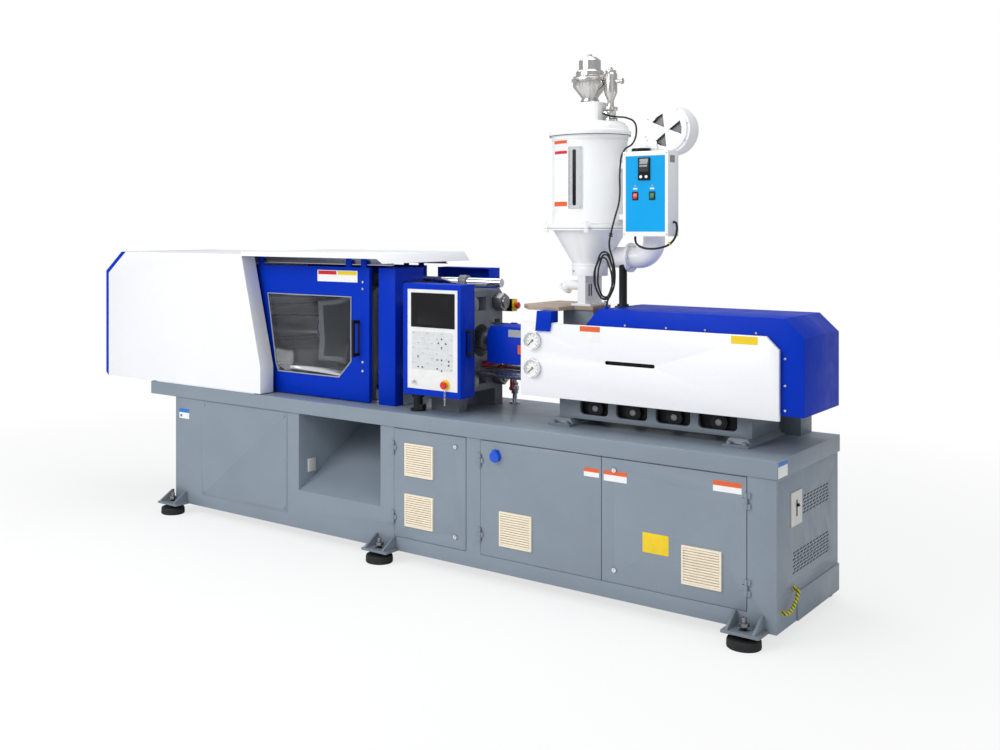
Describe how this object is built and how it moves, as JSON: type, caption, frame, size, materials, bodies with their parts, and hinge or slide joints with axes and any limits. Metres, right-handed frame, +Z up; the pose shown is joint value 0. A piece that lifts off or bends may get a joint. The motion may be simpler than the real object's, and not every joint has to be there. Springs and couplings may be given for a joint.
{
  "type": "injection moulding machine",
  "caption": "Horizontal hydraulic injection moulding machine with sliding safety guard, swivelling control box, injection carriage and hopper dryer on a cabinet bed.",
  "frame": {"origin": "middle of the bounding box at floor level, under the feet", "axes": "+X runs from the clamp unit to the injection unit, -Y is the operator's side, +Z is up"},
  "size_m": [5.044, 1.1816, 2.949],
  "materials": {
    "grey_paint": "satin",
    "cast_paint": "satin",
    "blue_paint": "gloss",
    "white_paint": "gloss",
    "dryer_paint": "gloss",
    "tan_paint": "satin",
    "black_paint": "satin",
    "motor_paint": "satin",
    "bright_steel": "brushed",
    "barrel_steel": "brushed",
    "screw_steel": "polished",
    "chrome": "polished",
    "rubber": "matte",
    "clear_pane": "clear",
    "red_plastic": "matte",
    "blue_plastic": "matte",
    "black_plastic": "matte",
    "beige_plastic": "matte",
    "green_plastic": "matte",
    "hose_rubber": "satin",
    "lead_rubber": "matte"
  },
  "bodies": {
    "bed": {"bed_frame": "grey_paint", "bed_table": "grey_paint", "bed_panels": "grey_paint", "foot_brackets": "grey_paint", "foot_pads": "rubber", "fixed_platen": "cast_paint", "cylinder_platen": "cast_paint", "tie_bars": "chrome", "guide_rails": "bright_steel", "clamp_cover": "white_paint", "fixed_guards": "blue_paint", "control_pedestal": "black_paint", "electrical_boxes": "beige_plastic", "power_unit": "motor_paint", "valve_block": "chrome", "hoses_and_cables": "hose_rubber", "injection_supports": "cast_paint", "injection_base": "cast_paint"},
    "left_door": {"left_cabinet_door": "grey_paint"},
    "middle_door": {"middle_cabinet_door": "grey_paint"},
    "right_door": {"right_cabinet_door": "grey_paint"},
    "socket_cap": {"socket_cap": "blue_plastic"},
    "left_upper_lock": {"left_upper_lock": "chrome"},
    "left_lower_lock": {"left_lower_lock": "chrome"},
    "right_upper_lock": {"right_upper_lock": "chrome"},
    "right_lower_lock": {"right_lower_lock": "chrome"},
    "moving_platen": {"moving_platen": "cast_paint", "clamp_ram": "chrome"},
    "ejector": {"ejector": "bright_steel"},
    "front_guard": {"front_safety_door": "blue_paint", "front_door_window": "clear_pane"},
    "rear_guard": {"rear_safety_door": "blue_paint"},
    "control_box": {"control_box": "blue_paint"},
    "control_panel": {"control_panel": "blue_paint"},
    "panel_stop": {"panel_stop": "red_plastic"},
    "key_switch": {"key_switch": "chrome"},
    "breaker_handle": {"breaker_handle": "black_plastic"},
    "platen_stop": {"platen_stop": "red_plastic"},
    "valve_lever": {"valve_lever": "red_plastic"},
    "nozzle_guard": {"nozzle_guard": "blue_paint"},
    "carriage": {"injection_housing": "cast_paint", "barrel": "barrel_steel", "injection_cover": "blue_paint", "side_panels": "white_paint", "hopper_plate": "tan_paint", "hopper_throat": "dryer_paint", "hopper_body": "dryer_paint", "hopper_lid": "dryer_paint", "vacuum_receiver": "bright_steel", "dryer_box": "dryer_paint", "blower": "dryer_paint", "air_pipe": "dryer_paint", "dryer_lead": "lead_rubber"},
    "thrust_block": {"thrust_block": "motor_paint"},
    "screw": {"screw": "screw_steel"},
    "upper_needle": {"upper_needle": "black_plastic"},
    "lower_needle": {"lower_needle": "black_plastic"},
    "red_rocker": {"red_rocker": "red_plastic"},
    "green_rocker": {"green_rocker": "green_plastic"},
    "blower_wheel": {"blower_wheel": "black_plastic"}
  },
  "joints": [
    {"name": "left_door_hinge", "type": "hinge", "parent": "bed", "child": "left_door", "pos_m": [0.1815, -0.455, 0.45], "axis": [0, 0, -1], "range_deg": [0, 110]},
    {"name": "middle_door_hinge", "type": "hinge", "parent": "bed", "child": "middle_door", "pos_m": [0.7955, -0.455, 0.45], "axis": [0, 0, -1], "range_deg": [0, 110]},
    {"name": "right_door_hinge", "type": "hinge", "parent": "bed", "child": "right_door", "pos_m": [2.3145, -0.455, 0.45], "axis": [0, 0, 1], "range_deg": [0, 110]},
    {"name": "socket_cap_hinge", "type": "hinge", "parent": "middle_door", "child": "socket_cap", "pos_m": [0.902, -0.471, 0.742], "axis": [-1, 0, 0], "range_deg": [0, 150]},
    {"name": "left_upper_lock_turn", "type": "hinge", "parent": "left_door", "child": "left_upper_lock", "pos_m": [0.626, -0.447, 0.728], "axis": [0, 1, 0], "range_deg": [0, 90]},
    {"name": "left_lower_lock_turn", "type": "hinge", "parent": "left_door", "child": "left_lower_lock", "pos_m": [0.626, -0.447, 0.216], "axis": [0, 1, 0], "range_deg": [0, 90]},
    {"name": "right_upper_lock_turn", "type": "hinge", "parent": "right_door", "child": "right_upper_lock", "pos_m": [1.621, -0.447, 0.728], "axis": [0, 1, 0], "range_deg": [0, 90]},
    {"name": "right_lower_lock_turn", "type": "hinge", "parent": "right_door", "child": "right_lower_lock", "pos_m": [1.621, -0.447, 0.216], "axis": [0, 1, 0], "range_deg": [0, 90]},
    {"name": "platen_slide", "type": "slide", "parent": "bed", "child": "moving_platen", "axis": [-1, 0, 0], "range_m": [0, 0.36]},
    {"name": "ejector_slide", "type": "slide", "parent": "moving_platen", "child": "ejector", "axis": [1, 0, 0], "range_m": [0, 0.1]},
    {"name": "front_guard_slide", "type": "slide", "parent": "bed", "child": "front_guard", "axis": [-1, 0, 0], "range_m": [0, 0.65]},
    {"name": "rear_guard_slide", "type": "slide", "parent": "bed", "child": "rear_guard", "axis": [-1, 0, 0], "range_m": [0, 0.65]},
    {"name": "control_box_swivel", "type": "hinge", "parent": "bed", "child": "control_box", "pos_m": [0.257, -0.31, 0.988], "axis": [0, 0, 1], "range_deg": [-75, 0]},
    {"name": "control_panel_hinge", "type": "hinge", "parent": "control_box", "child": "control_panel", "pos_m": [0.197, -0.368, 1.3], "axis": [0, 0, -1], "range_deg": [0, 110]},
    {"name": "panel_stop_press", "type": "slide", "parent": "control_panel", "child": "panel_stop", "axis": [0, 1, 0], "range_m": [0, 0.005], "stiffness_N_per_m": 600},
    {"name": "key_turn", "type": "hinge", "parent": "control_panel", "child": "key_switch", "pos_m": [0.293, -0.388, 1.062], "axis": [0, 1, 0], "range_deg": [0, 90]},
    {"name": "breaker_turn", "type": "hinge", "parent": "bed", "child": "breaker_handle", "pos_m": [2.425, -0.186, 0.614], "axis": [0, 1, 0], "range_deg": [0, 40]},
    {"name": "platen_stop_press", "type": "slide", "parent": "bed", "child": "platen_stop", "axis": [-1, 0, 0], "range_m": [0, 0.005], "stiffness_N_per_m": 600},
    {"name": "valve_turn", "type": "hinge", "parent": "bed", "child": "valve_lever", "pos_m": [0.555, 0.249, 0.977], "axis": [0, 1, 0], "range_deg": [0, 90]},
    {"name": "nozzle_guard_hinge", "type": "hinge", "parent": "bed", "child": "nozzle_guard", "pos_m": [0.75, 0.132, 1.385], "axis": [-1, 0, 0], "range_deg": [0, 75]},
    {"name": "carriage_slide", "type": "slide", "parent": "bed", "child": "carriage", "axis": [1, 0, 0], "range_m": [0, 0.25]},
    {"name": "screw_stroke", "type": "slide", "parent": "carriage", "child": "thrust_block", "axis": [1, 0, 0], "range_m": [0, 0.15]},
    {"name": "screw_spin", "type": "hinge", "parent": "thrust_block", "child": "screw", "pos_m": [1.6, 0, 1.29], "axis": [1, 0, 0], "continuous": true},
    {"name": "upper_needle_turn", "type": "hinge", "parent": "carriage", "child": "upper_needle", "pos_m": [1.041, -0.3, 1.345], "axis": [0, 1, 0], "range_deg": [0, 270], "stiffness_Nm_per_rad": 0.002, "springref_deg": -17.19},
    {"name": "lower_needle_turn", "type": "hinge", "parent": "carriage", "child": "lower_needle", "pos_m": [1.041, -0.3, 1.192], "axis": [0, 1, 0], "range_deg": [0, 270], "stiffness_Nm_per_rad": 0.002, "springref_deg": -17.19},
    {"name": "red_rocker_press", "type": "hinge", "parent": "carriage", "child": "red_rocker", "pos_m": [1.579, -0.122, 2.141], "axis": [1, 0, 0], "range_deg": [0, 16]},
    {"name": "green_rocker_press", "type": "hinge", "parent": "carriage", "child": "green_rocker", "pos_m": [1.677, -0.122, 2.141], "axis": [1, 0, 0], "range_deg": [0, 16]},
    {"name": "blower_spin", "type": "hinge", "parent": "carriage", "child": "blower_wheel", "pos_m": [1.69, 0.08, 2.5], "axis": [0, 1, 0], "continuous": true}
  ]
}
